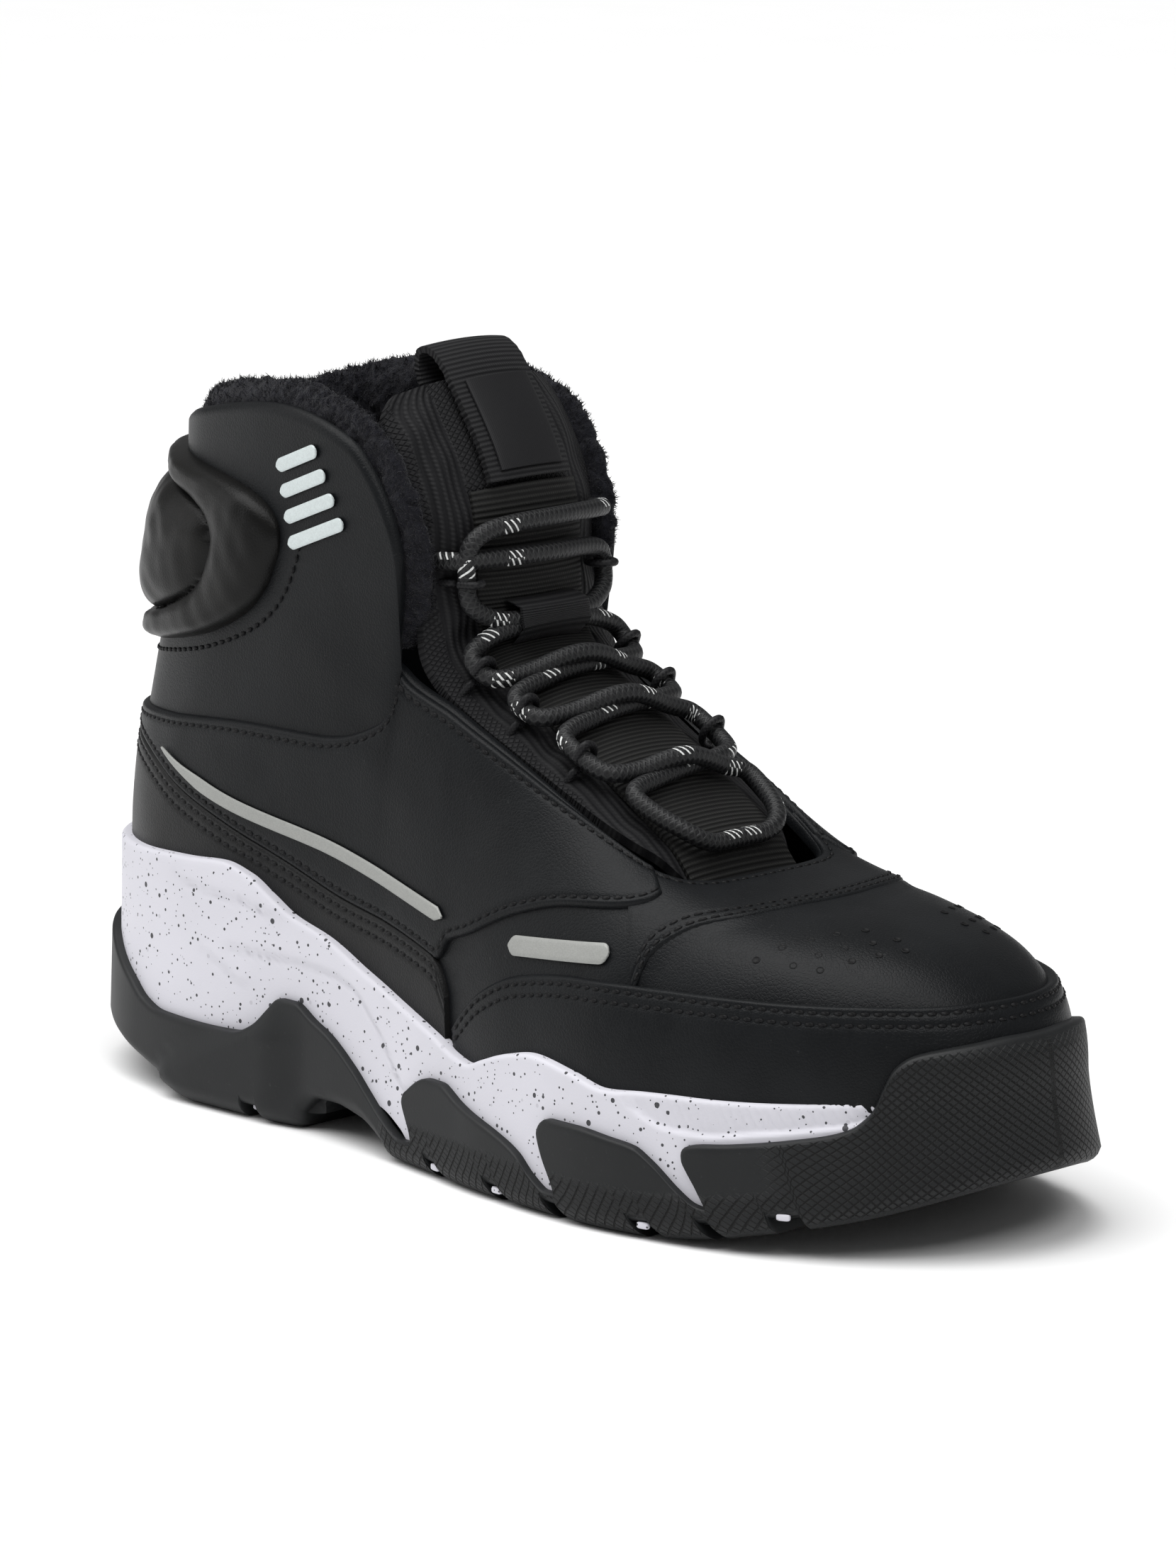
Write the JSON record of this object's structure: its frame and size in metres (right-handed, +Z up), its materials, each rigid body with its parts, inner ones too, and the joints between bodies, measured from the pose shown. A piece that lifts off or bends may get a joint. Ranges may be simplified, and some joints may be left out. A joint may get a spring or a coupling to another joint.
{
  "type": "high-top sneaker",
  "caption": "Right high-top sneaker with a padded fleece collar, speed lacing and a chunky cup sole with slanting rubber fins.",
  "frame": {"origin": "on the floor under the middle of the whole shoe's bounding box", "axes": "+X from heel to toe, +Y to the shoe's inner (medial) side, +Z up"},
  "size_m": [0.301, 0.114, 0.1894],
  "materials": {
    "black_leather": "smooth matte-satin coated leather",
    "black_stretch": "soft smooth stretch leather over padding",
    "black_fleece": "short thick fleece",
    "black_mesh": "open diamond mesh over padding",
    "black_webbing": "ribbed woven webbing",
    "black_satin": "bare woven satin",
    "charcoal_rubber": "moulded rubber, satin, with fine relief",
    "white_foam": "moulded foam, white with a cool tint and fine dark speckles",
    "dark_sock": "soft textile sock",
    "black_rope": "round braided rope with short pale flecks",
    "silver_film": "bright reflective film",
    "grey_film": "grey reflective film"
  },
  "bodies": {
    "root": {"upper": "black_leather", "toe_mudguard": "black_leather", "heel_counter": "black_leather", "quarter_outer": "black_leather", "quarter_inner": "black_leather", "collar_bolster": "black_stretch", "collar_cuff": "black_fleece", "tongue": "black_mesh", "tongue_tape": "black_webbing", "tongue_keeper": "black_webbing", "pull_loop": "black_webbing", "tongue_label": "black_satin", "outsole": "charcoal_rubber", "midsole": "white_foam", "insole": "dark_sock", "lace": "black_rope", "side_strip_outer": "grey_film", "forefoot_bar_outer": "grey_film", "collar_bar_outer_1": "silver_film", "lace_loop_outer_1": "black_rope", "collar_bar_outer_2": "silver_film", "lace_loop_outer_2": "black_rope", "collar_bar_outer_3": "silver_film", "lace_loop_outer_3": "black_rope", "collar_bar_outer_4": "silver_film", "lace_loop_outer_4": "black_rope", "side_strip_inner": "grey_film", "forefoot_bar_inner": "grey_film", "collar_bar_inner_1": "silver_film", "lace_loop_inner_1": "black_rope", "collar_bar_inner_2": "silver_film", "lace_loop_inner_2": "black_rope", "collar_bar_inner_3": "silver_film", "lace_loop_inner_3": "black_rope", "collar_bar_inner_4": "silver_film", "lace_loop_inner_4": "black_rope"}
  },
  "joints": []
}
